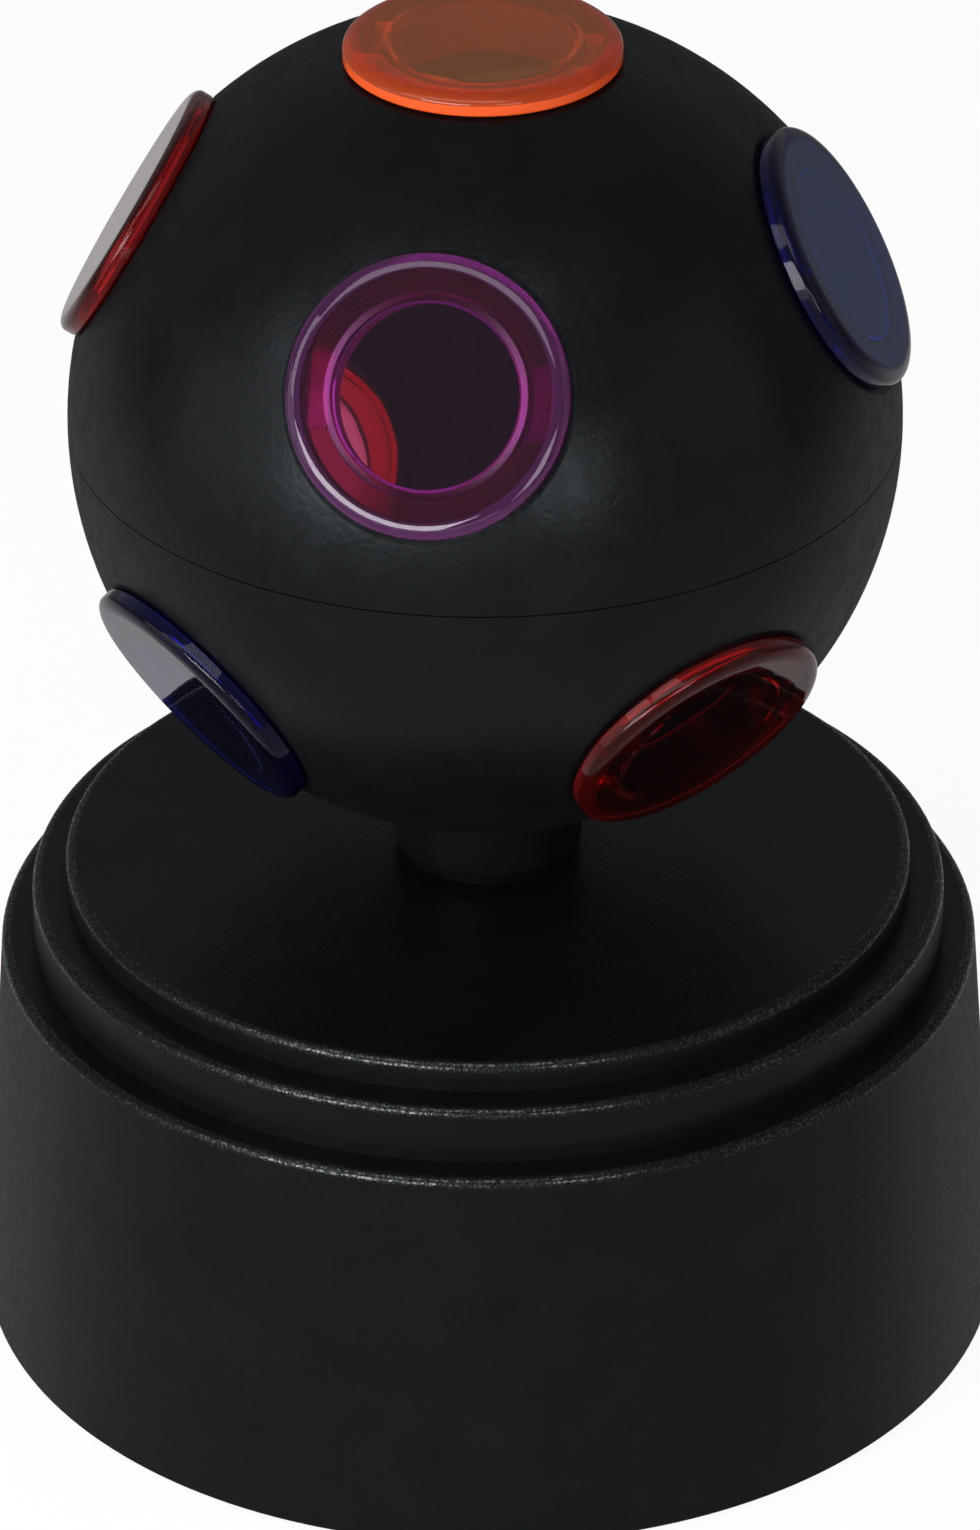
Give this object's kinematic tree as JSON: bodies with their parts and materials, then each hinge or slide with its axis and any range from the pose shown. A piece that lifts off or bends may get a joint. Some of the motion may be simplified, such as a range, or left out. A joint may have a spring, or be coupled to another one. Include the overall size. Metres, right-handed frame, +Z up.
{
  "type": "turning ball lamp",
  "caption": "Table lamp whose black ball with round coloured lenses turns on a short neck above a stepped round battery base that holds the drive and the switch.",
  "frame": {"origin": "on the surface that the lamp stands on, under the middle of the round base", "axes": "+Z up along the axis that the ball turns about, -Y towards the front, +X to the right as seen from the front"},
  "size_m": [0.1148, 0.1148, 0.1539],
  "materials": {
    "black_shell": "satin, fine grain",
    "black_plate": "satin",
    "rubber": "matte",
    "steel": "plated",
    "tin": "plated",
    "brass": "turned",
    "pale_gear": "satin",
    "white_frame": "satin",
    "cell_jacket": "gloss",
    "board_green": "gloss",
    "board_white": "satin",
    "clear_light": "clear gloss",
    "white_lead": "satin",
    "black_lead": "satin",
    "red_lead": "satin",
    "lens_orange": "clear gloss",
    "lens_purple": "clear gloss",
    "lens_blue": "clear gloss",
    "lens_red": "clear gloss"
  },
  "bodies": {
    "base": {"base_housing": "black_shell", "bottom_plate": "black_plate", "plate_screw_1": "steel", "plate_screw_2": "steel", "plate_screw_3": "steel", "plate_screw_4": "steel", "foot_1": "rubber", "foot_2": "rubber", "foot_3": "rubber", "foot_4": "rubber", "cell_1": "cell_jacket", "cell_2": "cell_jacket", "cell_3": "cell_jacket", "contact_left_single": "tin", "contact_left_link": "tin", "contact_right_link": "tin", "contact_right_single": "tin", "gear_frame": "white_frame", "frame_screw_1": "steel", "frame_screw_2": "steel", "frame_screw_3": "steel", "motor_screw_1": "steel", "motor_screw_2": "steel", "motor_can": "steel", "motor_gear_case": "white_frame", "idler_pin": "steel", "idler_clip": "steel", "neck_bush": "black_plate", "lamp_stem": "tin", "stem_nut": "brass", "light_board": "board_white", "led_1": "clear_light", "led_2": "clear_light", "led_3": "clear_light", "circuit_board": "board_green", "switch_body": "steel", "light_lead": "white_lead", "battery_lead_minus": "black_lead", "battery_lead_plus": "red_lead", "motor_lead": "black_lead"},
    "ball": {"upper_shell": "black_shell", "lower_shell": "black_shell", "lens_top": "lens_orange", "lens_upper_front": "lens_purple", "lens_upper_right": "lens_blue", "lens_upper_back": "lens_blue", "lens_upper_left": "lens_red", "lens_lower_front_right": "lens_red", "lens_lower_back_right": "lens_blue", "lens_lower_back_left": "lens_red", "lens_lower_front_left": "lens_blue", "drive_tube": "pale_gear", "drive_gear": "pale_gear", "ball_lock_nut": "white_frame"},
    "idler": {"idler_gear": "pale_gear"},
    "motor_output": {"motor_shaft": "steel", "motor_pinion": "brass"},
    "switch": {"switch_knob": "black_plate"},
    "door": {"battery_door": "black_plate", "battery_door_screw": "steel"}
  },
  "joints": [
    {"name": "ball_spin", "type": "hinge", "parent": "base", "child": "ball", "pos_m": [0, 0, 0.109], "axis": [0, 0, 1], "continuous": true},
    {"name": "idler_spin", "type": "hinge", "parent": "base", "child": "idler", "pos_m": [0.02161, 0.00787, 0.04], "axis": [0, 0, 1], "continuous": true},
    {"name": "motor_spin", "type": "hinge", "parent": "base", "child": "motor_output", "pos_m": [0.01644, 0.02718, 0.035], "axis": [0, 0, 1], "continuous": true},
    {"name": "switch_slide", "type": "slide", "parent": "base", "child": "switch", "axis": [1, 0, 0], "range_m": [0, 0.004]},
    {"name": "battery_door_tilt", "type": "hinge", "parent": "base", "child": "door", "pos_m": [0, 0.00105, 0.0022], "axis": [1, 0, 0], "range_deg": [0, 75]}
  ],
  "couplings": [
    {"joint": "idler_spin", "follows": "ball_spin", "ratio": -3.6},
    {"joint": "motor_spin", "follows": "ball_spin", "ratio": 10.8}
  ]
}
